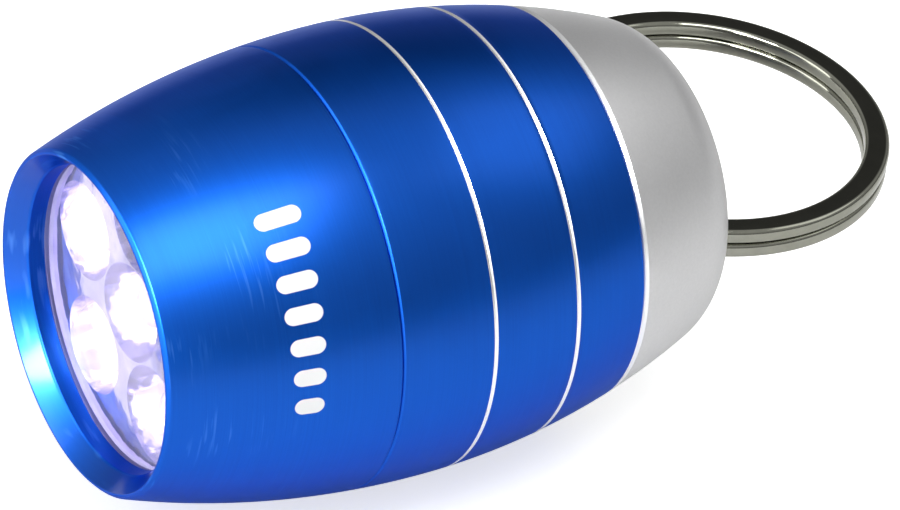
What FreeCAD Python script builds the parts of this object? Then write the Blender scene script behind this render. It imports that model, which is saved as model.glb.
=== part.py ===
import FreeCAD, Part
import math
import os

from FreeCAD import Vector

# Keychain flashlight with a cask-shaped body that lies on its belly.
# Lens end towards -X, split ring towards +X, +Z up, floor at z = 0.
# Each piece is first built with the body axis on X and the front rim at x = 0,
# then moved so that the origin is the bottom centre of the whole light.

# Body outline: two arcs that meet at the widest place, and a rounded tail
BODY_R = 14.0           # widest radius
WIDEST_X = 19.15        # where the body is widest
FRONT_ARC_R = 57.0      # side arc from the widest place to the lens rim
REAR_ARC_R = 48.75      # side arc from the widest place to the tail
TAIL_ROUND_R = 4.9      # rounding of the tail end
TAIL_ROUND_END = 40.5   # where that rounding would close on a flat end
HEAD_END = 14.11        # seam between head and barrel
BARREL_END = 31.48      # seam between barrel and tail cap
SEAM_GAP = 0.03         # half of the clearance in each seam
BREAK = 0.15            # broken edge on each side of the head seam
CAP_CHAMFER = 0.38      # bright chamfer on the tail cap's front edge
GROOVES_X = (20.33, 26.31)
GROOVE_WIDTH = 0.35
GROOVE_DEPTH = 0.16

# Lens rim
LIP_R = 10.41           # inner edge of the lip at the front
FLARE_DEPTH = 1.15
WINDOW_R = 9.5          # clear opening in front of the lens
LENS_FRONT = 2.32
LENS_THICK = 1.0
SEAL_THICK = 0.4

# Head stack
HEAD_BORE_R = 10.25
STACK_R = 10.1          # radius of the lens, reflector and board
CUP_MOUTH_R = 3.05
CUP_DEPTH = 4.2
LED_R = 2.5             # 5 mm LED
LED_HOLE_R = 2.58
LED_TIP = 4.2
LED_FLANGE_R = 2.85
LED_FLANGE = 1.0
LED_BASE = 12.0
LED_PITCH_R = 6.2
OUTER_LEDS = 5
LEAD_R = 0.25
LEAD_HALF_PITCH = 1.27
LEAD_LENGTH = 1.6
LEAD_HOLE_R = 0.35
BOARD_THICK = 1.0
LOCK_RING_BORE_R = 8.6
LOCK_RING_THICK = 1.3

# Threaded joints, as plain running fits
SPIGOT_R = 12.0         # head spigot inside the barrel
SPIGOT_END = 18.4
TAIL_SPIGOT_R = 11.0    # tail cap spigot inside the barrel
TAIL_SPIGOT_START = 27.4
TAIL_SPIGOT_BORE_R = 8.9
FIT = 0.1               # radial clearance of both spigots
O_RING_CORD_R = 0.38
O_RING_GROOVE = 1.0
O_RING_GROOVE_DEPTH = 0.7
HEAD_O_RING_X = 15.6
TAIL_O_RING_X = 30.3

# Battery: three LR44 cells in a plastic carrier
CELL_R = 5.8
CELL_HEIGHT = 5.4
CELL_CAP_R = 4.9
CELL_CAP_HEIGHT = 0.4
CELLS = ("cell_front", "cell_middle", "cell_rear")
CELLS_START = 14.65
CARRIER_R = 10.1
CARRIER_BORE_R = 5.95
CARRIER_START = 14.9
CARRIER_NECK_R = 8.7
BARREL_BORE_R = 10.2
CARRIER_END = 30.4
CONTACT_THICK = 0.2
SPRING_WIRE_R = 0.18
SPRING_TURNS = 1.4

# Tail cap
RECESS_R = 8.0
RECESS_FLOOR = 33.5
WEB_THICK = 1.3

# Split ring: flat wire in two turns, threaded through a hole in the cap's wall
RING_OUTER_R = 11.9
RING_WIDTH = 1.58
RING_WIRE = 0.98
RING_PITCH = 1.04
RING_CENTRE = Vector(46.1, 4.93, -2.1)
RING_DROOP = 1.9        # degrees
RING_STEP_START = 186.0  # angle where the wire steps from one turn to the next
RING_STEP = 30.0
RING_END_GAP = 3.0
RING_HOLE = Vector(35.95, 9.3, -2.1)
RING_HOLE_R = 1.8
RING_HOLE_ANGLE = 66.6  # direction of the hole's axis, from +X towards +Y

X_AXIS = Vector(1, 0, 0)
RING_END_X = RING_CENTRE.x + RING_OUTER_R
RING_SIDE_Y = RING_CENTRE.y + RING_OUTER_R
TO_ORIGIN = Vector(-RING_END_X / 2, -(RING_SIDE_Y - BODY_R) / 2, BODY_R)


def save(name, shape):
    """Move a finished piece to the row frame and write its STEP."""
    shape = shape.copy()
    shape.translate(TO_ORIGIN)
    shape.exportStep("parts/%s.step" % name)


def turned(points):
    """Turn a closed outline of (x, radius) points about the body axis."""
    corners = [Vector(x, r, 0) for x, r in points]
    outline = Part.makePolygon(corners + corners[:1])
    return Part.Face(outline).revolve(Vector(), X_AXIS, 360)


def disc(start, end, radius):
    """Cylinder on the body axis between two x stations."""
    return Part.makeCylinder(radius, end - start, Vector(start, 0, 0), X_AXIS)


def tube(start, end, inner, outer):
    """Hollow cylinder on the body axis."""
    return disc(start, end, outer).cut(disc(start - 1, end + 1, inner))


def side_radius(x):
    """Radius of the side arcs at a station along the axis."""
    arc = FRONT_ARC_R if x < WIDEST_X else REAR_ARC_R
    return BODY_R - arc + math.sqrt(arc ** 2 - (x - WIDEST_X) ** 2)


def body_envelope():
    """Whole cask shape from the lens rim to the mouth of the tail recess."""
    front_centre = Vector(WIDEST_X, BODY_R - FRONT_ARC_R, 0)
    rear_centre = Vector(WIDEST_X, BODY_R - REAR_ARC_R, 0)
    round_x = TAIL_ROUND_END - TAIL_ROUND_R
    reach = REAR_ARC_R - TAIL_ROUND_R
    round_centre = Vector(round_x, rear_centre.y + math.sqrt(reach ** 2 - (round_x - WIDEST_X) ** 2), 0)
    tangent = rear_centre + (round_centre - rear_centre).normalize() * REAR_ARC_R
    mouth = Vector(round_x + math.sqrt(TAIL_ROUND_R ** 2 - (RECESS_R + 0.1 - round_centre.y) ** 2),
                   RECESS_R + 0.1, 0)

    def on_arc(centre, radius, start, end):
        middle = centre + ((start + end) * 0.5 - centre).normalize() * radius
        return Part.Arc(start, middle, end).toShape()

    front = Vector(0, side_radius(0), 0)
    widest = Vector(WIDEST_X, BODY_R, 0)
    edges = [
        on_arc(front_centre, FRONT_ARC_R, front, widest),
        on_arc(rear_centre, REAR_ARC_R, widest, tangent),
        on_arc(round_centre, TAIL_ROUND_R, tangent, mouth),
        Part.makeLine(mouth, Vector(mouth.x, 0, 0)),
        Part.makeLine(Vector(mouth.x, 0, 0), Vector(0, 0, 0)),
        Part.makeLine(Vector(0, 0, 0), front),
    ]
    return Part.Face(Part.Wire(edges)).revolve(Vector(), X_AXIS, 360)


def edge_break(x, size, side):
    """Ring that takes a chamfer off the outline at x; side is the way the solid lies."""
    r = side_radius(x)
    return turned([(x - side * 0.5, r + 1), (x - side * 0.5, r - size - 0.5),
                   (x + side * (size + 1), r + 1)])


def o_ring_groove(x, spigot_radius):
    """Ring that cuts an O-ring's groove into a spigot."""
    return tube(x - O_RING_GROOVE / 2, x + O_RING_GROOVE / 2, spigot_radius - O_RING_GROOVE_DEPTH,
                spigot_radius + 0.05)


def head_shell(envelope):
    """Front casing: flared rim, lens shoulder, bore for the stack and rear spigot."""
    end = HEAD_END - SEAM_GAP
    flare = turned([(0, 0), (0, LIP_R), (FLARE_DEPTH, WINDOW_R), (FLARE_DEPTH, 0)])
    shell = envelope.common(disc(0, end, BODY_R + 1))
    shell = shell.cut(edge_break(end, BREAK, -1)).cut(edge_break(0, BREAK, 1))
    shell = shell.fuse(disc(HEAD_END - 1, SPIGOT_END, SPIGOT_R)).removeSplitter()
    shell = shell.cut(flare).cut(disc(FLARE_DEPTH / 2, LENS_FRONT + 1, WINDOW_R))
    shell = shell.cut(disc(LENS_FRONT, SPIGOT_END + 1, HEAD_BORE_R))
    return shell.cut(o_ring_groove(HEAD_O_RING_X, SPIGOT_R))


def barrel(envelope):
    """Middle casing with two turned grooves, bored for both spigots."""
    start = HEAD_END + SEAM_GAP
    end = BARREL_END - SEAM_GAP
    shell = envelope.common(disc(start, end, BODY_R + 1)).cut(edge_break(start, BREAK, 1))
    for x in GROOVES_X:
        r = side_radius(x)
        half = GROOVE_WIDTH / 2
        shell = shell.cut(turned([(x - half, r + 1), (x - half, r), (x, r - GROOVE_DEPTH),
                                  (x + half, r), (x + half, r + 1)]))
    shell = shell.cut(disc(start - 1, SPIGOT_END + 0.4, SPIGOT_R + FIT))
    shell = shell.cut(disc(start - 1, end + 1, BARREL_BORE_R))
    return shell.cut(disc(TAIL_SPIGOT_START - 0.3, end + 1, TAIL_SPIGOT_R + FIT))


def tail_cap(envelope):
    """Rear casing: chamfered edge, spigot, closed web, open recess and the ring's hole."""
    start = BARREL_END + SEAM_GAP
    body = envelope.common(disc(start, TAIL_ROUND_END, BODY_R + 1)).cut(edge_break(start, CAP_CHAMFER, 1))
    body = body.fuse(disc(TAIL_SPIGOT_START, BARREL_END + 1, TAIL_SPIGOT_R)).removeSplitter()
    body = body.cut(disc(TAIL_SPIGOT_START - 1, RECESS_FLOOR - WEB_THICK, TAIL_SPIGOT_BORE_R))
    body = body.cut(disc(RECESS_FLOOR, TAIL_ROUND_END + 1, RECESS_R))
    body = body.cut(o_ring_groove(TAIL_O_RING_X, TAIL_SPIGOT_R))
    turn = math.radians(RING_HOLE_ANGLE)
    along = Vector(math.cos(turn), math.sin(turn), 0)
    return body.cut(Part.makeCylinder(RING_HOLE_R, 9, RING_HOLE - along * 3.5, along))


def o_ring(x, spigot_radius):
    """Rubber cord ring that sits in a spigot's groove and just clears the bore."""
    centre_r = spigot_radius + FIT - 0.02 - O_RING_CORD_R
    return Part.makeTorus(centre_r, O_RING_CORD_R, Vector(x, 0, 0), X_AXIS)


def led_places():
    """Centre LED, then the outer ones counted from the top."""
    places = [Vector()]
    for i in range(OUTER_LEDS):
        turn = math.radians(90 + 360 * i / OUTER_LEDS)
        places.append(Vector(0, LED_PITCH_R * math.cos(turn), LED_PITCH_R * math.sin(turn)))
    return places


def reflector():
    """One moulded puck with a flared cup around every LED."""
    start = LENS_FRONT + LENS_THICK + SEAL_THICK
    puck = disc(start, LED_BASE - LED_FLANGE - 0.05, STACK_R)
    mouth = Vector(start, CUP_MOUTH_R, 0)
    waist = Vector(start + CUP_DEPTH / 2, (CUP_MOUTH_R + 2 * LED_HOLE_R) / 3 + 0.09, 0)
    base = Vector(start + CUP_DEPTH, LED_HOLE_R, 0)
    back = Vector(LED_BASE, LED_HOLE_R, 0)
    edges = [
        Part.makeLine(Vector(start, 0, 0), mouth),
        Part.Arc(mouth, waist, base).toShape(),
        Part.makeLine(base, back),
        Part.makeLine(back, Vector(LED_BASE, 0, 0)),
        Part.makeLine(Vector(LED_BASE, 0, 0), Vector(start, 0, 0)),
    ]
    cup = Part.Face(Part.Wire(edges)).revolve(Vector(), X_AXIS, 360)
    for place in led_places():
        one = cup.copy()
        one.translate(place)
        puck = puck.cut(one)
    return puck


def led(place):
    """5 mm LED: flange, straight body and domed tip."""
    shape = disc(LED_BASE - LED_FLANGE, LED_BASE - 0.03, LED_FLANGE_R)
    shape = shape.fuse(disc(LED_TIP + LED_R, LED_BASE - 0.5, LED_R))
    shape = shape.fuse(Part.makeSphere(LED_R, Vector(LED_TIP + LED_R, 0, 0))).removeSplitter()
    shape.translate(place)
    return shape


def lead_offsets():
    """Two leads side by side behind each LED."""
    return [Vector(0, side * LEAD_HALF_PITCH, 0) for side in (-1, 1)]


def led_leads(place):
    """Pair of tinned wires that come out of an LED's base through the board."""
    wires = []
    for offset in lead_offsets():
        wire = disc(LED_BASE, LED_BASE + LEAD_LENGTH, LEAD_R)
        wire.translate(place + offset)
        wires.append(wire)
    return Part.makeCompound(wires)


def circuit_board():
    """Round board that carries the LEDs, drilled for every lead."""
    board = disc(LED_BASE, LED_BASE + BOARD_THICK, STACK_R)
    for place in led_places():
        for offset in lead_offsets():
            hole = disc(LED_BASE - 1, LED_BASE + BOARD_THICK + 1, LEAD_HOLE_R)
            hole.translate(place + offset)
            board = board.cut(hole)
    return board


def resistor():
    """Chip resistor on the back of the board."""
    back = LED_BASE + BOARD_THICK
    return Part.makeBox(0.5, 2.0, 1.2, Vector(back, -1.0, -5.6))


def carried(path, section):
    """Solid swept by a closed section that keeps its angle to the path's axis, Z."""
    sweep = Part.BRepOffsetAPI.MakePipeShell(path)
    sweep.setBiNormalMode(Vector(0, 0, 1))
    sweep.add(section)
    sweep.build()
    sweep.makeSolid()
    return sweep.shape()


def coil_spring(start, end, radius):
    """Short round-wire spring on the body axis."""
    height = end - start - 2 * SPRING_WIRE_R
    path = Part.Wire(Part.makeHelix(height / SPRING_TURNS, height, radius))
    section = Part.Wire(Part.makeCircle(SPRING_WIRE_R, Vector(radius, 0, 0), Vector(0, 1, 0)))
    spring = carried(path, section)
    spring.rotate(Vector(), Vector(0, 1, 0), 90)
    spring.translate(Vector(start + SPRING_WIRE_R, 0, 0))
    return spring


def battery_carrier():
    """Plastic sleeve with a neck that reaches into the tail cap's spigot."""
    shoulder = TAIL_SPIGOT_START - 0.4
    body = disc(CARRIER_START, shoulder, CARRIER_R).fuse(disc(shoulder, CARRIER_END, CARRIER_NECK_R))
    return body.cut(disc(CARRIER_START - 1, CARRIER_END + 1, CARRIER_BORE_R))


def button_cell(start):
    """Button cell: can with a slightly smaller raised cap at the back."""
    can_end = start + CELL_HEIGHT - CELL_CAP_HEIGHT
    return turned([(start, 0), (start, CELL_R - 0.3), (start + 0.3, CELL_R), (can_end - 0.2, CELL_R),
                   (can_end, CELL_R - 0.2), (can_end, CELL_CAP_R),
                   (start + CELL_HEIGHT, CELL_CAP_R - 0.3), (start + CELL_HEIGHT, 0)])


def ring_section(level):
    """Outline of the wire's section on the +X side, with its foot at a level."""
    inner = RING_OUTER_R - RING_WIDTH
    top = level + RING_WIRE
    return Part.makePolygon([Vector(inner, 0, level), Vector(RING_OUTER_R, 0, level),
                             Vector(RING_OUTER_R, 0, top), Vector(inner, 0, top),
                             Vector(inner, 0, level)])


def ring_turn(level, start, sweep):
    """Flat stretch of the split ring's wire, from a start angle over a sweep."""
    stretch = Part.Face(ring_section(level)).revolve(Vector(), Vector(0, 0, 1), sweep)
    stretch.rotate(Vector(), Vector(0, 0, 1), start)
    return stretch


def ring_step(level, start):
    """Short ramp that carries the wire from the lower turn up to the upper one."""
    middle = RING_OUTER_R - RING_WIDTH / 2
    path = Part.Wire(Part.makeHelix(RING_PITCH * 360 / RING_STEP, RING_PITCH, middle))
    ramp = carried(path, ring_section(level))
    ramp.rotate(Vector(), Vector(0, 0, 1), start)
    return ramp


def split_ring():
    """Two-turn ring: lower turn, step, upper turn; both ends lie beside the step."""
    level = -(RING_PITCH + RING_WIRE) / 2
    sweep = 360 - RING_STEP - RING_END_GAP
    step_end = RING_STEP_START + RING_STEP
    lower = ring_turn(level, RING_STEP_START - sweep, sweep)
    upper = ring_turn(level + RING_PITCH, step_end, sweep)
    ring = lower.fuse(ring_step(level, RING_STEP_START)).fuse(upper)
    ring.rotate(Vector(), Vector(0, 1, 0), RING_DROOP)
    ring.translate(RING_CENTRE)
    return ring


def head_pieces(envelope):
    """Everything that turns with the head."""
    lens_back = LENS_FRONT + LENS_THICK
    board_back = LED_BASE + BOARD_THICK
    pieces = {
        "head_shell": head_shell(envelope),
        "lens": disc(LENS_FRONT, lens_back, STACK_R),
        "lens_seal": tube(lens_back, lens_back + SEAL_THICK, WINDOW_R + 0.05, STACK_R),
        "reflector": reflector(),
        "circuit_board": circuit_board(),
        "resistor": resistor(),
        "board_contact": tube(board_back, board_back + CONTACT_THICK, 2.0, 3.6),
        "contact_spring": coil_spring(board_back + CONTACT_THICK + 0.01, CELLS_START - 0.02, 2.8),
        "retaining_ring": tube(board_back, board_back + LOCK_RING_THICK, LOCK_RING_BORE_R, STACK_R + 0.08),
    }
    for i, place in enumerate(led_places()):
        label = "centre" if i == 0 else str(i)
        pieces["led_" + label] = led(place)
        pieces["led_leads_" + label] = led_leads(place)
    return pieces


def barrel_pieces(envelope):
    """The barrel and what stays in it."""
    pieces = {"barrel": barrel(envelope), "battery_carrier": battery_carrier()}
    for i, name in enumerate(CELLS):
        pieces[name] = button_cell(CELLS_START + i * CELL_HEIGHT)
    return pieces


def tail_pieces(envelope):
    """The tail cap, what turns with it, and the split ring."""
    web = RECESS_FLOOR - WEB_THICK
    cells_end = CELLS_START + len(CELLS) * CELL_HEIGHT
    return {
        "tail_cap": tail_cap(envelope),
        "tail_contact": disc(web - CONTACT_THICK, web, 4.5),
        "tail_spring": coil_spring(cells_end + 0.02, web - CONTACT_THICK - 0.01, 3.0),
        "split_ring": split_ring(),
    }


os.makedirs("parts", exist_ok=True)
cask = body_envelope()
nodes = {
    "head_o_ring": o_ring(HEAD_O_RING_X, SPIGOT_R),
    "tail_o_ring": o_ring(TAIL_O_RING_X, TAIL_SPIGOT_R),
}
nodes.update(head_pieces(cask))
nodes.update(barrel_pieces(cask))
nodes.update(tail_pieces(cask))
for node, solid in nodes.items():
    save(node, solid)
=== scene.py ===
import bmesh
import bpy
import numpy as np
from mathutils import Matrix, Vector


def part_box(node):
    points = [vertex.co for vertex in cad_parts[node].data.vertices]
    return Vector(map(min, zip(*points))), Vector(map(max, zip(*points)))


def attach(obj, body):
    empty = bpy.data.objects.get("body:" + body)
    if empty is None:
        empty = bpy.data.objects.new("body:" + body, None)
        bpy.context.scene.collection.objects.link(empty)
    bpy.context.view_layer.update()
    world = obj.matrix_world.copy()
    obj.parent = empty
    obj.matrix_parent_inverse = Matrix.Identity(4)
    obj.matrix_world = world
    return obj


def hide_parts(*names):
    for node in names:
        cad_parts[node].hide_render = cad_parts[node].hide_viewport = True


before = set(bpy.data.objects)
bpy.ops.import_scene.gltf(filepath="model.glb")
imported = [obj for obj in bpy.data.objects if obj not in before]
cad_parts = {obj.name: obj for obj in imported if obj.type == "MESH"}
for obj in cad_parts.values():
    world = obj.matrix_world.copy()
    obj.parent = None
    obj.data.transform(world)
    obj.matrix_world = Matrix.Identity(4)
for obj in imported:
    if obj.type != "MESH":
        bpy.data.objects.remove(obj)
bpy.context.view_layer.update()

# Head shell: the front casing, turned from aluminium bar and anodised blue, with a thin lip round a flared
# window. The lens seats on a shoulder behind the window, and a threaded spigot screws into the barrel.
MM = 0.001
barrel_low, barrel_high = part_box("barrel")
AXIS_Y = (barrel_low.y + barrel_high.y) / 2
AXIS_Z = (barrel_low.z + barrel_high.z) / 2
RIM_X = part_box("head_shell")[0].x
BODY_R = (barrel_high.z - barrel_low.z) / 2 / MM
WIDEST_X = 19.15
FRONT_ARC_R = 57.0
REAR_ARC_R = 48.75
HEAD_END = 14.10
SPIGOT_R = 12.0
SPIGOT_END = 18.4
HEAD_BORE_R = 10.25
WINDOW_R = 9.5
LIP_INNER_R = 10.41
FLARE_END = 1.15
FLARE_CHAMFER = 0.10
RIM_CHAMFER_LENGTH = 0.20
RIM_CHAMFER_DROP = 0.15
LENS_FRONT = 2.32
THREAD_DEPTH = 0.38
THREAD_PITCH = 0.75
THREAD_SINK = 0.08
THREAD_BEVEL = 0.15
THREAD_FADE = 1.2
THREAD_CLEARANCE = 0.02
HEAD_THREAD_START = 16.35
O_RING_DEPTH = 0.7
O_RING_WIDTH = 1.0
HEAD_O_RING = 15.1
TURNED_COLUMNS = 320
ORIGIN = np.array([RIM_X, AXIS_Y, AXIS_Z])


def side_radius(x):
    """Radius of the cask's side: one arc forward of the widest place and a tighter one behind it."""
    arc = np.where(np.asarray(x) < WIDEST_X, FRONT_ARC_R, REAR_ARC_R)
    return BODY_R - arc + np.sqrt(arc ** 2 - (x - WIDEST_X) ** 2)


def side(start, end, step=0.3):
    """Points on the cask's side between two stations, as sharp corners of an outline."""
    x = np.linspace(start, end, max(2, int((end - start) / step)))
    return [(a, b, 0) for a, b in zip(x, side_radius(x))]


def on_side(x, rounding):
    """Corner of an outline that lies on the cask's side."""
    return (x, float(side_radius(x)), rounding)


def o_ring_groove(front, radius):
    """Corners of a square groove turned into a spigot for an O-ring."""
    back, floor_r = front + O_RING_WIDTH, radius - O_RING_DEPTH
    return [(front, radius, 0.06), (front, floor_r, 0.05), (back, floor_r, 0.05), (back, radius, 0.06)]


def rounded(corners, steps=5):
    """Outline from (x, radius, rounding) corners: each corner with a rounding becomes a short
    quadratic curve that starts and ends that far along its two sides."""
    points = []
    count = len(corners)
    for i, (x, r, size) in enumerate(corners):
        here = np.array([x, r])
        if size == 0:
            points.append(here)
            continue
        back = np.array(corners[i - 1][:2]) - here
        on = np.array(corners[(i + 1) % count][:2]) - here
        start = here + back / np.linalg.norm(back) * size
        end = here + on / np.linalg.norm(on) * size
        for t in np.linspace(0, 1, steps):
            points.append((1 - t) ** 2 * start + 2 * t * (1 - t) * here + t ** 2 * end)
    return np.array(points)


def grid_mesh(name, grid, close_rows, close_columns, sharp=35):
    """Mesh from a rows x columns x 3 grid in metres; either direction may close on itself.
    Doubled points at poles and seams are merged and the faces made to point outwards."""
    rows, columns = grid.shape[:2]
    i, j = np.meshgrid(np.arange(rows - (not close_rows)), np.arange(columns - (not close_columns)),
                       indexing="ij")
    a = i * columns + j
    b = i * columns + (j + 1) % columns
    c = (i + 1) % rows * columns + (j + 1) % columns
    d = (i + 1) % rows * columns + j
    mesh = bpy.data.meshes.new(name)
    mesh.from_pydata(grid.reshape(-1, 3), [], np.stack([a, b, c, d], -1).reshape(-1, 4))
    shape = bmesh.new()
    shape.from_mesh(mesh)
    bmesh.ops.remove_doubles(shape, verts=shape.verts, dist=1e-7)
    bmesh.ops.recalc_face_normals(shape, faces=shape.faces)
    shape.to_mesh(mesh)
    shape.free()
    mesh.shade_smooth()
    mesh.set_sharp_from_angle(angle=np.radians(sharp))
    return mesh


def place_piece(name, mesh, body, slot, finish, *nodes):
    """Object at the origin that rides on a body, wears a finish and stands for CAD nodes. The slot is not
    used."""
    mesh.materials.append(finish)
    piece = bpy.data.objects.new(name, mesh)
    bpy.context.scene.collection.objects.link(piece)
    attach(piece, body)
    if nodes:
        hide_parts(*nodes)
    return piece


def turned_grid(outline, columns, centre=(0, 0)):
    """Point i of the outline at angle a: x_i along the axis, r_i cos a to the side and r_i sin a up."""
    turn = np.linspace(0, 2 * np.pi, columns, endpoint=False)
    x, r = outline[:, 0, None], outline[:, 1, None]
    grid = np.stack(np.broadcast_arrays(x + 0 * turn, r * np.cos(turn) + centre[0],
                                        r * np.sin(turn) + centre[1]), -1)
    return grid * MM + ORIGIN


def turned_casing(name, outline, body, slot, finish, *nodes):
    """Hollow turned piece on the body axis, from an outline that closes on itself."""
    mesh = grid_mesh(name, turned_grid(outline, TURNED_COLUMNS), True, True)
    return place_piece(name, mesh, body, slot, finish, *nodes)


def add_node(tree, kind, inputs=None, **settings):
    """New shader node with its settings and unlinked input values."""
    node = tree.nodes.new(kind)
    for key, value in settings.items():
        setattr(node, key, value)
    for key, value in (inputs or {}).items():
        node.inputs[key].default_value = value
    return node


def feed(tree, socket, value):
    """Gives a socket a constant value, or links another node's output to it."""
    if isinstance(value, bpy.types.NodeSocket):
        tree.links.new(value, socket)
    else:
        socket.default_value = value


def maths(tree, operation, first, second=0.0, clamp=False):
    """Math node; each operand is a number or another node's output."""
    node = add_node(tree, "ShaderNodeMath", operation=operation, use_clamp=clamp)
    feed(tree, node.inputs[0], first)
    feed(tree, node.inputs[1], second)
    return node.outputs[0]


def vector_maths(tree, operation, first, second=(0, 0, 0)):
    """Vector Math node; each operand is a constant or another node's output."""
    node = add_node(tree, "ShaderNodeVectorMath", operation=operation)
    feed(tree, node.inputs[0], first)
    feed(tree, node.inputs[1], second)
    return node.outputs["Value" if operation in ("LENGTH", "DOT_PRODUCT") else "Vector"]


def between(tree, factor, low, high, start=0.0, end=1.0):
    """Value that runs from low to high while the factor runs from start to end."""
    node = add_node(tree, "ShaderNodeMapRange",
                    {"From Min": start, "From Max": end, "To Min": low, "To Max": high})
    tree.links.new(factor, node.inputs["Value"])
    return node.outputs[0]


def ramp(tree, value, start, gain):
    """Mask that leaves 0 where the value passes start and climbs to 1 with the gain."""
    return maths(tree, "MULTIPLY", maths(tree, "SUBTRACT", value, start), gain, True)


def object_axes(tree):
    """Object coordinates as separate X, Y and Z outputs."""
    place = add_node(tree, "ShaderNodeTexCoord")
    apart = add_node(tree, "ShaderNodeSeparateXYZ")
    tree.links.new(place.outputs["Object"], apart.inputs[0])
    return apart.outputs


def object_noise(tree, scale, detail=2.0, **inputs):
    """Noise on Object coordinates; the scale is a number or another node's output."""
    place = add_node(tree, "ShaderNodeTexCoord")
    noise = add_node(tree, "ShaderNodeTexNoise", {"Detail": detail, **inputs})
    tree.links.new(place.outputs["Object"], noise.inputs["Vector"])
    feed(tree, noise.inputs["Scale"], scale)
    return noise.outputs["Fac"]


def new_group(name, inputs, outputs):
    """Shader node group with float inputs {name: default} and float outputs."""
    tree = bpy.data.node_groups.new(name, "ShaderNodeTree")
    for label, value in inputs.items():
        socket = tree.interface.new_socket(label, in_out="INPUT", socket_type="NodeSocketFloat")
        socket.default_value = value
    for label in outputs:
        tree.interface.new_socket(label, in_out="OUTPUT", socket_type="NodeSocketFloat")
    return tree, tree.nodes.new("NodeGroupInput").outputs, tree.nodes.new("NodeGroupOutput").inputs


def tool_path_noise(tree, along, around, detail=2.0, seed=0.0):
    """Noise drawn out round the body axis. Its first coordinate is x + 0.6 r, so the lines follow the tool
    on the side and on end faces alike; the other two are the unit vector that points away from the axis."""
    place = add_node(tree, "ShaderNodeTexCoord")
    centred = vector_maths(tree, "SUBTRACT", place.outputs["Object"], (0, AXIS_Y, AXIS_Z))
    flat = vector_maths(tree, "MULTIPLY", centred, (0, 1, 1))
    away = vector_maths(tree, "NORMALIZE", flat)
    reach = maths(tree, "MULTIPLY", vector_maths(tree, "LENGTH", flat), 0.6)
    apart = add_node(tree, "ShaderNodeSeparateXYZ")
    tree.links.new(centred, apart.inputs[0])
    station = maths(tree, "ADD", apart.outputs["X"], reach)
    first = add_node(tree, "ShaderNodeCombineXYZ")
    tree.links.new(maths(tree, "ADD", maths(tree, "MULTIPLY", station, along), seed), first.inputs["X"])
    spread = vector_maths(tree, "MULTIPLY", away, (0, around, around))
    noise = add_node(tree, "ShaderNodeTexNoise", {"Scale": 1.0, "Detail": detail, "Roughness": 0.6})
    tree.links.new(vector_maths(tree, "ADD", first.outputs[0], spread), noise.inputs["Vector"])
    return noise.outputs["Fac"]


# Turning marks: close lathe lines, and a few deeper strokes in patches that fade out behind the front rim.
turning_marks, given, result = new_group("turning marks", {"Depth": 1.0, "Reach": 0.010},
                                         ["Height", "Glint"])
fine_lines = tool_path_noise(turning_marks, 9000, 0.8)
strokes = ramp(turning_marks, tool_path_noise(turning_marks, 3400, 3.6, 1.0, 3.7), 0.58, 8.0)
patches = ramp(turning_marks, tool_path_noise(turning_marks, 130, 1.6, 1.0, 8.1), 0.50, 5.0)
behind_rim = maths(turning_marks, "SUBTRACT", object_axes(turning_marks)["X"], RIM_X)
near_rim = between(turning_marks, maths(turning_marks, "DIVIDE", behind_rim, given["Reach"]), 1.0, 0.0)
# Glint marks the deeper strokes near the rim; the anodised finish uses it to paint a lighter highlight into
# its colour.
glint = maths(turning_marks, "MULTIPLY", maths(turning_marks, "MULTIPLY", strokes, patches), near_rim)
height = maths(turning_marks, "ADD", fine_lines, maths(turning_marks, "MULTIPLY", glint, 3.0))
turning_marks.links.new(maths(turning_marks, "MULTIPLY", height, given["Depth"]), result["Height"])
turning_marks.links.new(glint, result["Glint"])

# Handling: soft smudges of skin grease that dull a polished face here and there.
handling, given, result = new_group("handling", {"Size": 120.0}, ["Smudge"])
smudge = object_noise(handling, given["Size"], 4.0, Roughness=0.55, Distortion=0.6)
handling.links.new(ramp(handling, smudge, 0.45, 3.0), result["Smudge"])


def new_material(name, metallic=0.0, **sockets):
    """Principled material; sockets are uniform values set on the shader itself."""
    made = bpy.data.materials.new(name)
    made.use_nodes = True
    shader = made.node_tree.nodes["Principled BSDF"]
    shader.inputs["Metallic"].default_value = metallic
    for key, value in sockets.items():
        shader.inputs[key.replace("_", " ")].default_value = value
    return made, made.node_tree, shader


def drive(tree, shader, **outputs):
    """Links outputs to the shader's sockets; a socket's name is written with underscores for spaces."""
    for key, output in outputs.items():
        tree.links.new(output, shader.inputs[key.replace("_", " ")])


def use_group(tree, group, **values):
    """Group node in a material, with its own values."""
    node = add_node(tree, "ShaderNodeGroup", node_tree=group)
    for key, value in values.items():
        node.inputs[key].default_value = value
    return node.outputs


def colour_between(tree, factor, first, second):
    """Colour that runs from first to second with the factor."""
    mix = add_node(tree, "ShaderNodeMix", data_type="RGBA")
    tree.links.new(factor, mix.inputs[0])
    for socket, value in ((mix.inputs[6], first), (mix.inputs[7], second)):
        feed(tree, socket, (*value, 1) if isinstance(value, tuple) else value)
    return mix.outputs[2]


def bump(tree, shader, height, distance, strength=1.0):
    """Bump node that feeds the shader's normal; distance is in metres."""
    node = add_node(tree, "ShaderNodeBump", {"Strength": strength, "Distance": distance})
    tree.links.new(height, node.inputs["Height"])
    tree.links.new(node.outputs[0], shader.inputs["Normal"])


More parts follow.
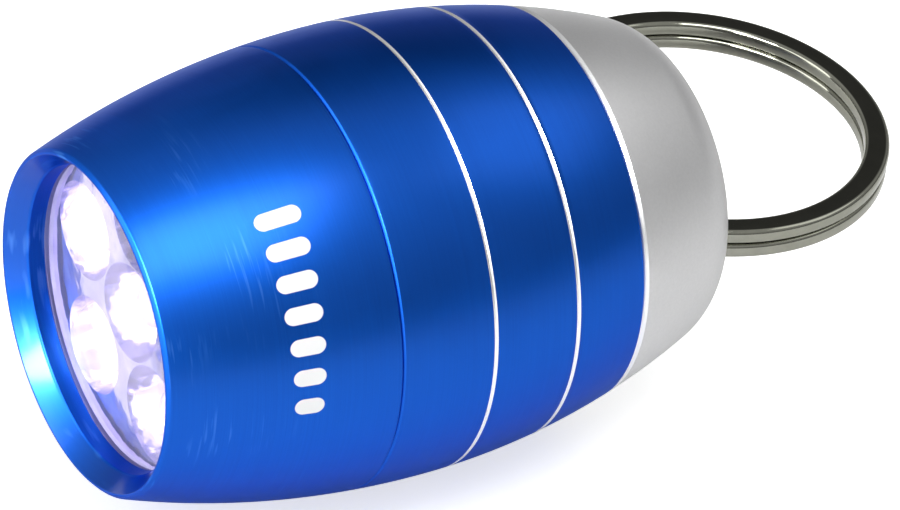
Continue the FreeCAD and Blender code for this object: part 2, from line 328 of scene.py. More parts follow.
def anodised(name, marks, coat, coat_roughness, mask=None):
    """Dyed blue anodising over turned aluminium, with a painted highlight along the deeper turning strokes
    and an optional mask of white print.
    """
    made, tree, shader = new_material(name, 1.0, Anisotropic=0.55, Specular_Tint=(0.26, 0.38, 0.72, 1),
                                      Coat_Weight=coat, Coat_Roughness=coat_roughness)
    turned_face = use_group(tree, turning_marks, Depth=marks)
    grease = use_group(tree, handling, Size=140.0)
    dye_and_painted_highlight = colour_between(tree, turned_face["Height"], (0.003, 0.086, 0.52), (0.005, 0.112, 0.61))
    # Painted highlight: the dye is lightened where the turning strokes' Glint mask is high.
    dye_and_painted_highlight = colour_between(tree, turned_face["Glint"], dye_and_painted_highlight, (0.07, 0.24, 0.74))
    roughness = between(tree, grease["Smudge"], 0.33, 0.39)
    if mask:
        printed = mask(tree)
        dye_and_painted_highlight = colour_between(tree, printed, dye_and_painted_highlight, (0.86, 0.86, 0.85))
        drive(tree, shader, Metallic=between(tree, printed, 1.0, 0.0))
        roughness = maths(tree, "MAXIMUM", roughness, maths(tree, "MULTIPLY", printed, 0.45))
    tangent = add_node(tree, "ShaderNodeTangent", direction_type="RADIAL", axis="X")
    drive(tree, shader, Base_Color=dye_and_painted_highlight, Roughness=roughness, Tangent=tangent.outputs[0])
    bump(tree, shader, turned_face["Height"], 6e-6, 0.35)
    return made


# Printed mark: a plain row of seven rounded bars around the head, from short to long, in white ink.
MARK_START = -1.0
MARK_END = 60.0
MARK_X = 8.3
MARK_BARS = 7
MARK_SHORTEST = 0.35
MARK_GROWTH = 0.09
MARK_SPACING = 2.0
MARK_EDGE = 0.56
MARK_SHARPNESS = 40000.0


def printed_bars(tree):
    """Mask that is 1 inside the bars. Angle round the body picks the bar, and each bar's length along X
    grows with its number."""
    axes = object_axes(tree)
    up = maths(tree, "SUBTRACT", axes["Z"], AXIS_Z)
    out = maths(tree, "SUBTRACT", AXIS_Y, axes["Y"])
    angle = maths(tree, "DEGREES", maths(tree, "ARCTAN2", up, out))
    run = maths(tree, "DIVIDE", maths(tree, "SUBTRACT", angle, MARK_START),
                (MARK_END - MARK_START) / MARK_BARS)
    number = maths(tree, "FLOOR", run)
    inside = maths(tree, "MULTIPLY", maths(tree, "GREATER_THAN", number, -0.5),
                   maths(tree, "LESS_THAN", number, MARK_BARS - 0.5))
    across = maths(tree, "ABSOLUTE", maths(tree, "SUBTRACT", maths(tree, "FRACT", run), 0.5))
    across = maths(tree, "MULTIPLY", across, MARK_SPACING * MM)
    along = maths(tree, "ABSOLUTE", maths(tree, "SUBTRACT", axes["X"], RIM_X + MARK_X * MM))
    reach = maths(tree, "ADD", maths(tree, "MULTIPLY", number, MARK_GROWTH * MM), MARK_SHORTEST * MM)
    over = maths(tree, "MAXIMUM", maths(tree, "SUBTRACT", along, reach), 0.0)
    distance = maths(tree, "SQRT", maths(tree, "ADD", maths(tree, "MULTIPLY", over, over),
                                         maths(tree, "MULTIPLY", across, across)))
    soft = maths(tree, "MULTIPLY", maths(tree, "SUBTRACT", MARK_EDGE * MM, distance), MARK_SHARPNESS, True)
    return maths(tree, "MULTIPLY", soft, inside)


head_finish = anodised("blue anodised head", 1.0, 0.20, 0.24, printed_bars)
flare_finish = anodised("blue anodised flare", 0.5, 0.6, 0.17)
barrel_finish = anodised("blue anodised barrel", 0.9, 0.20, 0.24)

bright_cut, tree, shader = new_material("bright cut aluminium", 1.0)
cut_lines = use_group(tree, turning_marks, Depth=1.0)
drive(tree, shader,
      Base_Color=colour_between(tree, cut_lines["Height"], (0.90, 0.90, 0.91), (0.99, 0.99, 0.99)),
      Roughness=between(tree, cut_lines["Glint"], 0.30, 0.18))
bump(tree, shader, cut_lines["Height"], 3e-6, 0.3)


def helix_thread(name, start, turns, root, body, slot, finish):
    """Thread ridge: a flat-topped V carried along a helix, x = start + pitch a / 2 pi, that sinks into
    the spigot at both ends."""
    steps = int(turns * 96)
    angle = np.linspace(0, 2 * np.pi * turns, steps)[:, None]
    rise = np.clip(np.minimum(angle, angle[::-1]) / THREAD_FADE, 0, 1)
    rise = rise * rise * (3 - 2 * rise)
    offset = np.array([-0.30, -0.07, 0.07, 0.30])
    sunk = root - THREAD_SINK
    crest = root + THREAD_DEPTH - THREAD_CLEARANCE
    radius = sunk + (np.array([sunk, crest, crest, sunk]) - sunk) * rise
    x = start + THREAD_PITCH * angle / (2 * np.pi) + offset
    grid = np.stack([x, radius * np.cos(angle), radius * np.sin(angle)], -1)
    mesh = grid_mesh(name, grid * MM + ORIGIN, False, True, 40)
    return place_piece(name, mesh, body, slot, finish)


def finish_band(piece, finish, start, end, least_radius, most_radius=99.0):
    """Gives the faces between two stations and two radii a second finish."""
    piece.data.materials.append(finish)
    count = len(piece.data.polygons)
    centres = np.empty(count * 3)
    piece.data.polygons.foreach_get("center", centres)
    centres = (centres.reshape(-1, 3) - ORIGIN) / MM
    index = np.empty(count, int)
    piece.data.polygons.foreach_get("material_index", index)
    inside = (centres[:, 0] > start) & (centres[:, 0] < end)
    radius = np.hypot(centres[:, 1], centres[:, 2])
    inside &= (radius > least_radius) & (radius < most_radius)
    index[inside] = len(piece.data.materials) - 1
    piece.data.polygons.foreach_set("material_index", index)


lip_r = float(side_radius(0.0)) - RIM_CHAMFER_DROP
shoulder_r = float(side_radius(HEAD_END))
head_outline = rounded(
    [(0.0, LIP_INNER_R, 0.04), (0.0, lip_r, 0.03), on_side(RIM_CHAMFER_LENGTH, 0.08)]
    + side(0.45, HEAD_END - 0.35)
    + [on_side(HEAD_END - 0.05, 0.02), (HEAD_END, shoulder_r - 0.05, 0.02), (HEAD_END, SPIGOT_R, 0)]
    + o_ring_groove(HEAD_O_RING, SPIGOT_R)
    + [(HEAD_THREAD_START, SPIGOT_R, 0), (HEAD_THREAD_START + THREAD_BEVEL, SPIGOT_R - THREAD_DEPTH, 0),
       (SPIGOT_END, SPIGOT_R - THREAD_DEPTH, 0.1), (SPIGOT_END, HEAD_BORE_R, 0.1),
       (LENS_FRONT, HEAD_BORE_R, 0), (LENS_FRONT, WINDOW_R, 0.03),
       (FLARE_END + FLARE_CHAMFER, WINDOW_R, 0.05), (FLARE_END, WINDOW_R + FLARE_CHAMFER, 0.03)])
head_shell = turned_casing("head_casing", head_outline, "head", "anodised_body", head_finish, "head_shell")
finish_band(head_shell, flare_finish, -0.01, FLARE_END - 0.01, WINDOW_R + FLARE_CHAMFER - 0.01,
            LIP_INNER_R + 0.01)
helix_thread("head_thread", 16.75, 1.9, SPIGOT_R - THREAD_DEPTH, "head", "anodised_body", head_finish)

# Barrel: the middle casing in the same blue, screwed onto both spigots. Two grooves are cut through the
# anodising with a diamond tool after dyeing, so bare bright aluminium shows in them.
BARREL_START = 14.12
BARREL_END = 31.45
GROOVES_X = (20.33, 26.31)
GROOVE_HALF = 0.13
GROOVE_DEPTH = 0.12
GROOVE_LAND = 0.05
SEAM_CHAMFER = 0.18
FRONT_BORE_R = SPIGOT_R + 0.1
FRONT_BORE_END = 18.8
BATTERY_BORE_R = 10.2
REAR_BORE_R = 11.1
REAR_BORE_START = 27.1


def grooved_side(start, end, grooves):
    """Side of the cask with a narrow rounded V at each groove."""
    corners = []
    x = start
    for groove in grooves:
        r = float(side_radius(groove))
        corners += side(x, groove - GROOVE_HALF - GROOVE_LAND)
        corners += [(groove - GROOVE_HALF, r, 0), (groove, r - GROOVE_DEPTH, 0.08),
                    (groove + GROOVE_HALF, r, 0)]
        x = groove + GROOVE_HALF + GROOVE_LAND
    return corners + side(x, end)


front_r = float(side_radius(BARREL_START))
barrel_outline = rounded(
    [(BARREL_START, FRONT_BORE_R, 0.05), (BARREL_START, front_r - SEAM_CHAMFER, 0.02),
     on_side(BARREL_START + SEAM_CHAMFER, 0.02)]
    + grooved_side(BARREL_START + 0.4, BARREL_END - 0.15, GROOVES_X)
    + [on_side(BARREL_END, 0.03), (BARREL_END, REAR_BORE_R, 0.05), (REAR_BORE_START, REAR_BORE_R, 0),
       (REAR_BORE_START, BATTERY_BORE_R, 0), (FRONT_BORE_END, BATTERY_BORE_R, 0),
       (FRONT_BORE_END, FRONT_BORE_R, 0)])
barrel = turned_casing("barrel_casing", barrel_outline, "barrel", "anodised_body", barrel_finish, "barrel")
for groove in GROOVES_X:
    finish_band(barrel, bright_cut, groove - GROOVE_HALF, groove + GROOVE_HALF, SPIGOT_R)

# Tail cap: turned aluminium, bead blasted to a satin grey and clear anodised, with one bright chamfer cut
# afterwards. Its end is bored out, and the key ring passes through a cross hole in the bore's wall.
CAP_START = 31.51
CAP_CHAMFER = 0.38
TAIL_ROUND_R = 4.9
TAIL_ROUND_END = 40.5
RECESS_R = 8.0
RECESS_FLOOR = 33.5
WEB_BACK = 32.2
TAIL_SPIGOT_R = 11.0
TAIL_SPIGOT_START = 27.4
TAIL_BORE_R = 8.9
TAIL_THREAD_END = 29.5
TAIL_O_RING = 29.8
RING_HOLE = np.array([35.95, 9.3, -2.1])
RING_HOLE_R = 1.8
RING_HOLE_ANGLE = np.radians(66.6)

round_x = TAIL_ROUND_END - TAIL_ROUND_R
round_r = BODY_R - REAR_ARC_R + np.sqrt((REAR_ARC_R - TAIL_ROUND_R) ** 2 - (round_x - WIDEST_X) ** 2)
round_start = np.arctan2(round_r - BODY_R + REAR_ARC_R, round_x - WIDEST_X)
round_end = np.arcsin((RECESS_R + 0.25 - round_r) / TAIL_ROUND_R)
sweep = np.linspace(round_start, round_end, 28)
tail_round = [(round_x + TAIL_ROUND_R * np.cos(a), round_r + TAIL_ROUND_R * np.sin(a), 0) for a in sweep]
cap_outline = rounded(
    [(CAP_START, TAIL_SPIGOT_R, 0), (CAP_START, float(side_radius(CAP_START)) - CAP_CHAMFER, 0.03),
     on_side(CAP_START + CAP_CHAMFER, 0.03)]
    + side(CAP_START + CAP_CHAMFER + 0.15, tail_round[0][0] - 0.25)
    + tail_round
    + [(tail_round[-1][0] + 0.03, RECESS_R, 0.12), (RECESS_FLOOR, RECESS_R, 0.25), (RECESS_FLOOR, 0, 0),
       (WEB_BACK, 0, 0), (WEB_BACK, TAIL_BORE_R, 0.1), (TAIL_SPIGOT_START, TAIL_BORE_R, 0.1),
       (TAIL_SPIGOT_START, TAIL_SPIGOT_R - THREAD_DEPTH, 0.1),
       (TAIL_THREAD_END - THREAD_BEVEL, TAIL_SPIGOT_R - THREAD_DEPTH, 0),
       (TAIL_THREAD_END, TAIL_SPIGOT_R, 0)]
    + o_ring_groove(TAIL_O_RING, TAIL_SPIGOT_R))


def cross_hole_cutter():
    """Round cutter along the hole's axis, flared where it leaves the wall on each side, so that the hole's
    edges come out broken. Point i at angle a: centre + s_i axis + r_i (cos a side + sin a up)."""
    along = np.array([np.cos(RING_HOLE_ANGLE), np.sin(RING_HOLE_ANGLE), 0])
    across = np.array([-along[1], along[0], 0])
    up = np.array([0.0, 0.0, 1.0])
    station = np.array([-3.6, -3.6, -1.9, -1.3, 0.9, 1.6, 6.0, 6.0])[:, None, None]
    flare = np.array([0.55, 0.30, 0, 0, 0.35, 1.80])
    radius = np.concatenate([[0], RING_HOLE_R + flare, [0]])[:, None, None]
    turn = np.linspace(0, 2 * np.pi, 72, endpoint=False)[None, :, None]
    grid = RING_HOLE + station * along + radius * (np.cos(turn) * across + np.sin(turn) * up)
    return grid_mesh("cross_hole_cutter", grid * MM + ORIGIN, False, True)


def cut_away(piece, cutter_mesh):
    """Subtracts a cutter from a piece's mesh for good."""
    cutter = bpy.data.objects.new("cutter", cutter_mesh)
    bpy.context.scene.collection.objects.link(cutter)
    modifier = piece.modifiers.new("cut", "BOOLEAN")
    modifier.object = cutter
    modifier.solver = "EXACT"
    bpy.context.view_layer.update()
    cut = bpy.data.meshes.new_from_object(piece.evaluated_get(bpy.context.evaluated_depsgraph_get()))
    piece.modifiers.clear()
    piece.data = cut
    bpy.data.objects.remove(cutter)
    cut.shade_smooth()
    cut.set_sharp_from_angle(angle=np.radians(35))


satin, tree, shader = new_material("bead blasted satin aluminium", 1.0)
blast = object_noise(tree, 5200.0, 3.0, Roughness=0.7)
cloud = between(tree, object_noise(tree, 260.0, 3.0), 0.0, 0.35)
grease = use_group(tree, handling, Size=90.0)
grey = colour_between(tree, blast, (0.59, 0.59, 0.595), (0.71, 0.71, 0.715))
drive(tree, shader, Base_Color=colour_between(tree, cloud, grey, (0.74, 0.74, 0.745)),
      Roughness=between(tree, grease["Smudge"], 0.50, 0.43))
bump(tree, shader, blast, 8e-6, 0.45)

tail_cap = turned_casing("tail_cap_casing", cap_outline, "tail", "satin_cap", satin, "tail_cap")
finish_band(tail_cap, bright_cut, CAP_START - 0.02, CAP_START + CAP_CHAMFER, TAIL_SPIGOT_R + 0.5)
cut_away(tail_cap, cross_hole_cutter())
helix_thread("tail_thread", 27.75, 1.75, TAIL_SPIGOT_R - THREAD_DEPTH, "tail", "satin_cap", satin)

# Split ring: flat spring-steel wire rolled into two turns and nickel plated. The wire steps from the lower
# turn to the upper one beside its two ends, so each turn lies flat against the other.
RING_CENTRE = np.array([46.1, 4.93, -2.1])
RING_OUTER_R = 11.9
RING_WIDTH = 1.58
RING_WIRE = 0.98
RING_PITCH = 1.04
RING_DROOP = np.radians(1.9)
RING_STEP_START = 186.0
RING_STEP = 30.0
RING_END_GAP = 3.0
RING_END_TAPER = 1.3
RING_END_SHRINK = 0.22
WIRE_EDGE_R = 0.30


def wire_section():
    """Rounded rectangle as (radial, axial) points."""
    half_w, half_h = RING_WIDTH / 2 - WIRE_EDGE_R, RING_WIRE / 2 - WIRE_EDGE_R
    turn = np.radians(np.arange(0, 91, 15))
    points = []
    for k, (sx, sy) in enumerate(((1, 1), (-1, 1), (-1, -1), (1, -1))):
        angle = turn + k * np.pi / 2
        points.append(np.stack([sx * half_w + WIRE_EDGE_R * np.cos(angle),
                                sy * half_h + WIRE_EDGE_R * np.sin(angle)], -1))
    return np.concatenate(points)


def split_ring_grid():
    """Section carried round the ring. Its level is half a pitch low on the first turn, climbs smoothly by
    one pitch over the step and stays there on the second; both ends shrink a little, as if dressed."""
    flat = 360 - RING_STEP - RING_END_GAP
    angle = np.linspace(RING_STEP_START - flat, RING_STEP_START + RING_STEP + flat, 560)
    climb = np.clip((angle - RING_STEP_START) / RING_STEP, 0, 1)
    level = RING_PITCH * (climb * climb * (3 - 2 * climb) - 0.5)
    to_end = np.minimum(angle - angle[0], angle[-1] - angle)
    size = 1 - RING_END_SHRINK * np.clip(1 - to_end / RING_END_TAPER, 0, 1) ** 2
    angle = np.concatenate([angle[:1], angle, angle[-1:]])
    level = np.concatenate([level[:1], level, level[-1:]])
    size = np.concatenate([[0], size, [0]])
    section = wire_section()
    radial = RING_OUTER_R - RING_WIDTH / 2 + size[:, None] * section[:, 0]
    turn = np.radians(angle)[:, None]
    x = radial * np.cos(turn)
    y = radial * np.sin(turn)
    z = level[:, None] + size[:, None] * section[:, 1]
    tilted = np.stack([x * np.cos(RING_DROOP) + z * np.sin(RING_DROOP), y,
                       z * np.cos(RING_DROOP) - x * np.sin(RING_DROOP)], -1)
    return (tilted + RING_CENTRE) * MM + ORIGIN


nickel, tree, shader = new_material("nickel plated spring steel", 1.0)
wear = object_noise(tree, 900.0, 4.0, Roughness=0.65)
scratch = object_noise(tree, 3200.0, 2.0, Distortion=1.5)
grease = use_group(tree, handling, Size=200.0)
drive(tree, shader, Base_Color=colour_between(tree, wear, (0.27, 0.275, 0.23), (0.39, 0.39, 0.33)),
      Roughness=maths(tree, "ADD", between(tree, grease["Smudge"], 0.05, 0.11),
                      maths(tree, "MULTIPLY", scratch, 0.05)))
bump(tree, shader, scratch, 3e-6, 0.3)
place_piece("split_ring_wire", grid_mesh("split_ring_wire", split_ring_grid(), False, True, 50),
            "ring", "ring_steel", nickel, "split_ring")

# Lens and seals: a flat disc of clear acrylic with a faint violet cast, pressed against the shoulder behind
# the window. A soft clear seal lies behind its edge, and black O-rings seal the two screwed joints.
LENS_THICK = 1.0
STACK_R = 10.1
DISC_COLUMNS = 192

lens_back = LENS_FRONT + LENS_THICK
lens_outline = rounded([(LENS_FRONT, 0, 0), (LENS_FRONT, STACK_R, 0.12), (lens_back, STACK_R, 0.12),
                        (lens_back, 0, 0)])
clear, tree, shader = new_material("clear acrylic", 0.0, Transmission_Weight=1.0, IOR=1.45)
grease = use_group(tree, handling, Size=160.0)
drive(tree, shader, Roughness=between(tree, grease["Smudge"], 0.0, 0.035),
      Base_Color=colour_between(tree, grease["Smudge"], (0.95, 0.93, 1.0), (0.92, 0.90, 1.0)))
place_piece("lens_disc", grid_mesh("lens_disc", turned_grid(lens_outline, DISC_COLUMNS), False, True),
            "head", "clear_lens", clear, "lens")


def speckled(name, metallic, dark, light, scale, roughness, height, **sockets):
    """Finish with a fine grain that moves its colour, its roughness and its height together."""
    made, tree, shader = new_material(name, metallic, **sockets)
    grain = object_noise(tree, scale, 4.0)
    drive(tree, shader, Base_Color=colour_between(tree, grain, dark, light),
          Roughness=between(tree, grain, *roughness))
    bump(tree, shader, grain, height, 0.3)
    return made


def refinish(node, finish):
    """New finish on a CAD node that keeps its shape."""
    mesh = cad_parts[node].data
    mesh.materials.clear()
    mesh.materials.append(finish)


# Painted glow: the seal carries a faint lavender emission that stands in for the LEDs' light inside it.
silicone_with_painted_glow = speckled("translucent silicone, painted glow", 0.0, (0.50, 0.48, 0.66), (0.74, 0.72, 0.88), 900.0,
                    (0.25, 0.45), 1e-5, Emission_Color=(0.62, 0.60, 0.95, 1), Emission_Strength=0.10)
refinish("lens_seal", silicone_with_painted_glow)
nitrile = speckled("black nitrile rubber", 0.0, (0.012, 0.012, 0.013), (0.024, 0.024, 0.025), 1800.0,
                   (0.42, 0.68), 2e-5)
refinish("head_o_ring", nitrile)
refinish("tail_o_ring", nitrile)

# Reflector: one moulded puck, vacuum metallised, with a flared cup round each of its six LEDs. Only thin
# lands of the flat face are left between the cups. A faint glow stands for the light of the lit LEDs.
PUCK_FRONT = 3.72
PUCK_BACK = 10.95
CUP_MOUTH_R = 3.05
CUP_DEPTH = 4.2
LED_HOLE_R = 2.58
LED_PITCH_R = 6.2
CUP_COLUMNS = 72
CUP_FLARE_POWER = 1.6

outer_turn = np.radians(90 + 72 * np.arange(5))
led_places = [(0.0, 0.0)] + [(LED_PITCH_R * np.cos(a), LED_PITCH_R * np.sin(a)) for a in outer_turn]


def flat_face_with_holes(name, x, holes):
    """Filled flat face at station x, triangulated, between the puck's rim and several cup mouths."""
    curve = bpy.data.curves.new(name, "CURVE")
    curve.dimensions = "2D"
    curve.fill_mode = "BOTH"
    circles = [((0, 0), STACK_R, DISC_COLUMNS)] + [(centre, CUP_MOUTH_R, CUP_COLUMNS) for centre in holes]
    for (cy, cz), radius, count in circles:
        turn = np.linspace(0, 2 * np.pi, count, endpoint=False)
        spline = curve.splines.new("POLY")
        spline.points.add(count - 1)
        points = np.stack([cy + radius * np.cos(turn), cz + radius * np.sin(turn), 0 * turn,
                           np.ones(count)], -1)
        spline.points.foreach_set("co", points.ravel())
        spline.use_cyclic_u = True
    holder = bpy.data.objects.new(name, curve)
    mesh = bpy.data.meshes.new_from_object(holder)
    bpy.data.objects.remove(holder)
    flat = np.empty(len(mesh.vertices) * 3)
    mesh.vertices.foreach_get("co", flat)
    flat = flat.reshape(-1, 3)
    placed = np.stack([np.full(len(flat), x), flat[:, 0], flat[:, 1]], -1)
    mesh.vertices.foreach_set("co", (placed * MM + ORIGIN).ravel())
    return mesh


def joined(name, meshes, sharp=35):
    """One mesh from several, with meeting edges welded and normals turned outwards."""
    whole = bmesh.new()
    for mesh in meshes:
        whole.from_mesh(mesh)
    bmesh.ops.remove_doubles(whole, verts=whole.verts, dist=2e-6)
    bmesh.ops.recalc_face_normals(whole, faces=whole.faces)
    result_mesh = bpy.data.meshes.new(name)
    whole.to_mesh(result_mesh)
    whole.free()
    result_mesh.shade_smooth()
    result_mesh.set_sharp_from_angle(angle=np.radians(sharp))
    return result_mesh


depth = np.linspace(0, 1, 14)
cup_x = np.concatenate([PUCK_FRONT + CUP_DEPTH * depth, [PUCK_BACK]])
flare_r = (CUP_MOUTH_R - LED_HOLE_R) * (1 - depth) ** CUP_FLARE_POWER
cup_r = np.concatenate([LED_HOLE_R + flare_r, [LED_HOLE_R]])
cup_outline = np.stack([cup_x, cup_r], -1)
rim_outline = np.array([[PUCK_FRONT, STACK_R], [PUCK_BACK, STACK_R]])
puck_faces = [flat_face_with_holes("puck_face", PUCK_FRONT, led_places),
              flat_face_with_holes("puck_back", PUCK_BACK, []),
              grid_mesh("puck_rim", turned_grid(rim_outline, DISC_COLUMNS), False, True)]
puck_faces += [grid_mesh("puck_cup", turned_grid(cup_outline, CUP_COLUMNS, centre), False, True)
               for centre in led_places]
metallised, tree, shader = new_material("vacuum metallised plastic", 1.0, Emission_Strength=0.22)
ripple = object_noise(tree, 520.0)
drive(tree, shader, Base_Color=colour_between(tree, ripple, (0.60, 0.56, 0.80), (0.90, 0.88, 0.97)),
      Roughness=between(tree, ripple, 0.04, 0.14),
      Emission_Color=colour_between(tree, ripple, (0.30, 0.26, 0.62), (0.95, 0.92, 1.0)))
bump(tree, shader, ripple, 2.5e-4, 0.45)
place_piece("reflector_puck", joined("reflector_puck", puck_faces), "head", "reflector_chrome", metallised,
            "reflector")

# LEDs: six water-clear 5 mm domes, lit. Each holds a small cupped post with a phosphor pad, bonded to a
# second post by a fine wire, all cast in epoxy with a flange at the base.
LED_R = 2.5
LED_TIP = 4.2
LED_BACK = 11.97
FLANGE_FRONT = 11.0
FLANGE_R = 2.85
POST_R = 0.25
POST_OUT = 1.27
POST_BACK = 11.6
BOND_WIRE_R = 0.03

epoxy, tree, shader = new_material("lit water clear epoxy", 0.0, Transmission_Weight=0.70, IOR=1.5,
                                   Emission_Strength=1.15)
cloudy = object_noise(tree, 480.0, 1.5, Distortion=0.8)
glow = ramp(tree, cloudy, 0.49, 8.0)
drive(tree, shader, Base_Color=colour_between(tree, cloudy, (0.93, 0.94, 1.0), (1.0, 1.0, 1.0)),
      Roughness=between(tree, cloudy, 0.03, 0.12),
      Emission_Color=colour_between(tree, glow, (0.24, 0.20, 0.40), (1.0, 0.98, 1.0)))

dome_turn = np.linspace(0, np.pi / 2, 18)
dome = np.stack([LED_TIP + LED_R * (1 - np.cos(dome_turn)), LED_R * np.sin(dome_turn)], -1)
flange = rounded([(FLANGE_FRONT, LED_R, 0), (FLANGE_FRONT, FLANGE_R, 0.08), (LED_BACK, FLANGE_R, 0.08),
                  (LED_BACK, 0, 0)])
led_outline = np.concatenate([dome, flange])
led_names = ["led_centre"] + [f"led_{i}" for i in range(1, 6)]
for led_name, where in zip(led_names, led_places):
    dome_name = led_name + "_dome"
    place_piece(dome_name, grid_mesh(dome_name, turned_grid(led_outline, 48, where), False, True),
                "head", "led_epoxy", epoxy, led_name)


def rod(points, radius, where, sides=8):
    """Round rod along a path in the XY plane: at each point the section is radius (cos a n + sin a b), with
    b upright and n square to the path."""
    path = np.array(points, float)
    ahead = np.gradient(path, axis=0)
    ahead /= np.linalg.norm(ahead, axis=1, keepdims=True)
    turn = np.linspace(0, 2 * np.pi, sides, endpoint=False)
    side_x, side_y = -ahead[:, 1, None], ahead[:, 0, None]
    out = radius * np.cos(turn)
    grid = np.stack([path[:, 0, None] + out * side_x, where[0] + path[:, 1, None] + out * side_y,
                     where[1] + radius * np.sin(turn) + 0 * side_x], -1)
    middle = grid.mean(1, keepdims=True).repeat(sides, 1)
    grid = np.concatenate([middle[:1], grid, middle[-1:]])
    return grid_mesh("rod", grid * MM + ORIGIN, False, True, 60)


tinned = speckled("tinned lead frame", 1.0, (0.62, 0.62, 0.64), (0.86, 0.86, 0.88), 2400.0, (0.16, 0.34),
                  4e-6)
phosphor = speckled("yellow phosphor, lit", 0.0, (0.85, 0.74, 0.30), (0.95, 0.88, 0.48), 6000.0, (0.5, 0.8),
                    1e-5, Emission_Color=(0.93, 0.94, 1.0, 1), Emission_Strength=6.0)
cup_wall = np.array([[8.15, 0], [8.1, 0.35], [7.35, 0.95], [7.35, 0.82], [7.8, 0.5], [7.8, 0]])
pad_outline = np.array([[7.8, 0.5], [7.5, 0.68], [7.42, 0.0]])
bow = np.linspace(0, np.pi, 14)
bond = np.stack([7.75 - 0.55 * np.sin(bow), 0.58 + 0.5 * np.cos(bow)], -1)
for led_name, where in zip(led_names, led_places):
    posts = [rod([(POST_BACK, -POST_OUT), (9.3, -POST_OUT), (8.6, -0.75), (8.1, 0.0)], POST_R, where),
             rod([(POST_BACK, POST_OUT), (8.6, POST_OUT), (7.75, 1.1)], POST_R, where),
             rod(bond, BOND_WIRE_R, where, 6),
             grid_mesh("cup", turned_grid(cup_wall, 32, where), False, True)]
    frame_name, pad_name = led_name + "_lead_frame", led_name + "_phosphor"
    place_piece(frame_name, joined(frame_name, posts, 40), "head", "lead_wire", tinned)
    place_piece(pad_name, grid_mesh(pad_name, turned_grid(pad_outline, 32, where), False, True),
                "head", "led_epoxy", phosphor)
    refinish(led_name.replace("led_", "led_leads_"), tinned)

# Circuit board and its parts: a green glass-fibre board that closes the back of the head, held by a black
# threaded ring. It carries one chip resistor, a brass contact and the front battery spring.
CHIP_CAP_START = 0.68

board_green, tree, shader = new_material("solder mask on glass fibre", 0.0, Coat_Weight=0.4,
                                         Coat_Roughness=0.15)
threads = [add_node(tree, "ShaderNodeTexWave", {"Scale": 600.0, "Distortion": 0.6}, bands_direction=way)
           for way in ("Y", "Z")]
coordinates = add_node(tree, "ShaderNodeTexCoord")
for thread in threads:
    tree.links.new(coordinates.outputs["Object"], thread.inputs["Vector"])
weave = maths(tree, "MULTIPLY", threads[0].outputs["Fac"], threads[1].outputs["Fac"])
stain = object_noise(tree, 400.0, 3.0)
drive(tree, shader, Base_Color=colour_between(tree, weave, (0.010, 0.085, 0.035), (0.022, 0.150, 0.060)),
      Roughness=between(tree, stain, 0.30, 0.50))
bump(tree, shader, weave, 1.5e-5, 0.3)
refinish("circuit_board", board_green)

chip, tree, shader = new_material("chip resistor", 0.0)
dust = object_noise(tree, 3500.0)
from_middle = maths(tree, "ABSOLUTE", maths(tree, "SUBTRACT", object_axes(tree)["Y"], AXIS_Y))
capped = maths(tree, "GREATER_THAN", from_middle, CHIP_CAP_START * MM)
ceramic = colour_between(tree, dust, (0.015, 0.015, 0.017), (0.045, 0.045, 0.048))
drive(tree, shader, Base_Color=colour_between(tree, capped, ceramic, (0.72, 0.72, 0.73)), Metallic=capped,
      Roughness=between(tree, dust, 0.28, 0.55))
refinish("resistor", chip)

brass = speckled("pressed brass", 1.0, (0.66, 0.46, 0.20), (0.84, 0.64, 0.32), 1500.0, (0.20, 0.42), 6e-6)
spring_steel = speckled("drawn spring wire", 1.0, (0.40, 0.39, 0.38), (0.66, 0.65, 0.63), 2800.0,
                        (0.18, 0.36), 5e-6)
black_ring = speckled("black anodised ring", 1.0, (0.018, 0.018, 0.020), (0.050, 0.050, 0.054), 2200.0,
                      (0.34, 0.52), 6e-6)
refinish("board_contact", brass)
refinish("contact_spring", spring_steel)
refinish("retaining_ring", black_ring)

# Battery: three button cells in nickel-plated cans stacked in a black moulded sleeve. A brass plate and a
# second spring in the tail cap press the stack forward.
can_steel, tree, shader = new_material("nickel plated can", 1.0)
drawn = use_group(tree, turning_marks, Depth=0.6)
grease = use_group(tree, handling, Size=260.0)
drive(tree, shader, Roughness=between(tree, grease["Smudge"], 0.16, 0.34),
      Base_Color=colour_between(tree, drawn["Height"], (0.60, 0.59, 0.56), (0.82, 0.81, 0.78)))
bump(tree, shader, drawn["Height"], 3e-6, 0.3)
for cell in ("cell_front", "cell_middle", "cell_rear"):
    refinish(cell, can_steel)
black_plastic = speckled("moulded black plastic", 0.0, (0.016, 0.016, 0.017), (0.034, 0.034, 0.036), 1400.0,
                         (0.38, 0.60), 2e-5)
refinish("battery_carrier", black_plastic)
refinish("tail_contact", brass)
refinish("tail_spring", spring_steel)

# Camera, floor and light: white paper under two overhead softboxes, with a third low on the lens side. A
# small light that only shows in reflections puts a glint on the window's cone. The room is dim behind the
# flashlight, so the ring's flat faces stay dark.
FLOOR_REACH = 1.2

floor_mesh = bpy.data.meshes.new("floor")
floor_mesh.from_pydata([(-FLOOR_REACH, -FLOOR_REACH, 0), (FLOOR_REACH, -FLOOR_REACH, 0),
                        (FLOOR_REACH, FLOOR_REACH, 0), (-FLOOR_REACH, FLOOR_REACH, 0)], [], [(0, 1, 2, 3)])
floor = bpy.data.objects.new("floor", floor_mesh)
bpy.context.scene.collection.objects.link(floor)
paper, tree, shader = new_material("white paper", 0.0, Roughness=0.9, Base_Color=(0.84, 0.84, 0.84, 1),
                                   Emission_Color=(1, 1, 1, 1))
seen_directly = add_node(tree, "ShaderNodeLightPath").outputs["Is Camera Ray"]
drive(tree, shader, Emission_Strength=maths(tree, "MULTIPLY", seen_directly, 0.62))
floor_mesh.materials.append(paper)

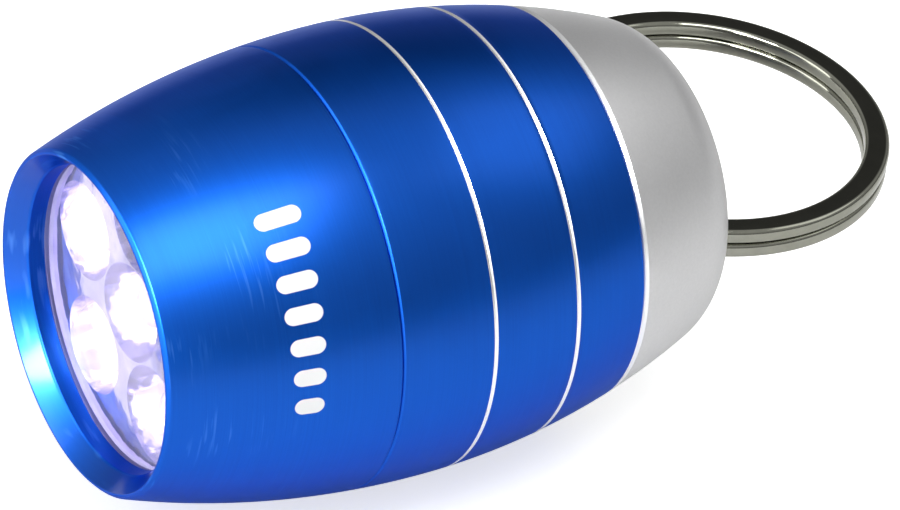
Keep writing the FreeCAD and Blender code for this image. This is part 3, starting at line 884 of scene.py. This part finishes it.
# The room: brighter overhead than at the horizon, dim in one patch behind, and white to the camera.
world = bpy.data.worlds.new("studio")
bpy.context.scene.world = world
world.use_nodes = True
room = world.node_tree
background = room.nodes["Background"]
background.inputs["Color"].default_value = (1, 1, 1, 1)
heading = add_node(room, "ShaderNodeTexCoord").outputs["Generated"]
toward_back = vector_maths(room, "DOT_PRODUCT", heading, (0.44, 0.67, 0.60))
axes = add_node(room, "ShaderNodeSeparateXYZ")
room.links.new(heading, axes.inputs[0])
dim = between(room, toward_back, 1.0, 0.13, 0.90, 0.985)
climb = between(room, axes.outputs["Z"], 0.18, 0.52, 0.0, 0.7)
seen_directly = add_node(room, "ShaderNodeLightPath").outputs["Is Camera Ray"]
strength = maths(room, "MAXIMUM", maths(room, "MULTIPLY", dim, climb),
                 maths(room, "MULTIPLY", seen_directly, 0.85))
room.links.new(strength, background.inputs["Strength"])


def softbox(name, place, size, power, aim=(0, 0, 0.014), seen=True, spills=True):
    """Rectangular light that faces a point. An unseen one lights the floor but isn't mirrored, and one that
    doesn't spill is only mirrored."""
    light = bpy.data.lights.new(name, "AREA")
    light.shape = "RECTANGLE"
    light.size, light.size_y = size
    light.energy = power
    holder = bpy.data.objects.new(name, light)
    bpy.context.scene.collection.objects.link(holder)
    turn = (Vector(aim) - Vector(place)).to_track_quat("-Z", "Y").to_matrix().to_4x4()
    holder.matrix_world = Matrix.Translation(Vector(place)) @ turn
    holder.visible_glossy = seen
    holder.visible_diffuse = spills


softbox("overhead softbox", (-0.08, -0.17, 0.49), (0.26, 0.28), 1.25)
softbox("rear overhead softbox", (0.33, -0.07, 0.42), (0.35, 0.25), 0.24)
softbox("lens side softbox", (-0.46, 0.0, 0.21), (0.62, 0.36), 1.9)
softbox("small lens light", (-0.34, -0.167, 0.30), (0.22, 0.16), 4.2, spills=False)
softbox("floor fill", (0.0, -0.1, 1.2), (1.4, 1.4), 1.6, seen=False)

camera_data = bpy.data.cameras.new("camera")
camera_data.sensor_width = 36.0
camera_data.lens = 320.0
camera_data.clip_start = 0.01
camera = bpy.data.objects.new("camera", camera_data)
bpy.context.scene.collection.objects.link(camera)
right = Vector((0.8681, -0.4882, 0.0903)).normalized()
forward = Vector((0.4382, 0.6680, -0.6015)).normalized()
up = right.cross(forward)
eye = Vector((-188.45, -325.93, 291.27)) * MM + Vector((RIM_X, AXIS_Y, AXIS_Z))
camera.matrix_world = Matrix.Translation(eye) @ Matrix((right, up, -forward)).transposed().to_4x4()
bpy.context.scene.camera = camera
bpy.context.scene.view_settings.view_transform = "Standard"
